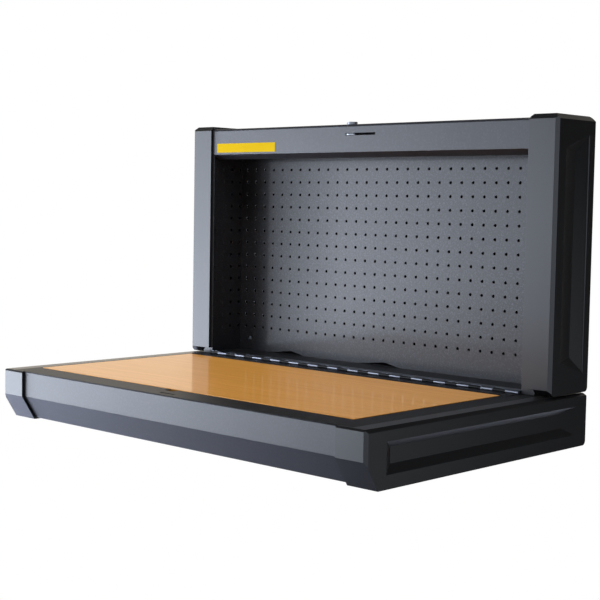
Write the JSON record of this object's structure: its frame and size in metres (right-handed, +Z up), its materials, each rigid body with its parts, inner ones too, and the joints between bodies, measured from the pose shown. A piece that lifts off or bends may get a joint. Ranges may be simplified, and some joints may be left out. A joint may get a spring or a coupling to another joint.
{
  "type": "wall mounted folding workbench",
  "caption": "Shallow steel wall cabinet with a perforated tool panel and a wood topped worktop that folds up on a long hinge to close it.",
  "frame": {"origin": "centre of the four wall bolts, on the wall plane at the back of the cabinet", "axes": "+X to the right along the hinge, +Y into the wall, +Z up; the worktop is open and level"},
  "size_m": [0.88, 0.575, 0.5575],
  "materials": {
    "panel_steel": "fine textured charcoal powder coat",
    "body_steel": "satin charcoal powder coat",
    "cover_plastic": "moulded, fine grain",
    "leaf_steel": "zinc plated piano hinge",
    "zinc_steel": "bright zinc plate",
    "lock_chrome": "polished",
    "wood": "sealed light board",
    "rubber": "moulded",
    "band_plastic": "plain printed film"
  },
  "bodies": {
    "cabinet": {"back_panel": "panel_steel", "left_upright": "panel_steel", "right_upright": "panel_steel", "top_panel": "body_steel", "bottom_shelf": "body_steel", "left_upper_cap": "cover_plastic", "right_upper_cap": "cover_plastic", "top_wall_rail": "body_steel", "bottom_wall_rail": "body_steel", "wall_spacers": "zinc_steel", "upright_screws": "zinc_steel", "upper_hinge_leaf": "leaf_steel", "hinge_pin": "zinc_steel", "upper_hinge_rivets": "zinc_steel", "stop_pads": "rubber", "lock_housing": "lock_chrome", "lock_nut": "zinc_steel", "label_strip": "band_plastic"},
    "lock": {"lock_plug": "lock_chrome", "lock_cam": "zinc_steel", "cam_screw": "zinc_steel"},
    "worktop": {"tray": "body_steel", "top_frame": "body_steel", "wood_panel": "wood", "left_lower_cap": "cover_plastic", "right_lower_cap": "cover_plastic", "left_side_rail": "body_steel", "right_side_rail": "body_steel", "front_brace": "body_steel", "rear_brace": "body_steel", "lower_hinge_leaf": "body_steel", "lower_hinge_screws": "zinc_steel", "keeper_plate": "body_steel", "wood_screws": "zinc_steel", "lower_cap_screws": "zinc_steel"}
  },
  "joints": [
    {"name": "worktop_fold", "type": "hinge", "parent": "cabinet", "child": "worktop", "pos_m": [0, -0.115, -0.2265], "axis": [-1, 0, 0], "range_deg": [0, 90]},
    {"name": "lock_turn", "type": "hinge", "parent": "cabinet", "child": "lock", "pos_m": [-0.0195, -0.095, 0.2116], "axis": [0, 0, -1], "range_deg": [0, 180]}
  ]
}
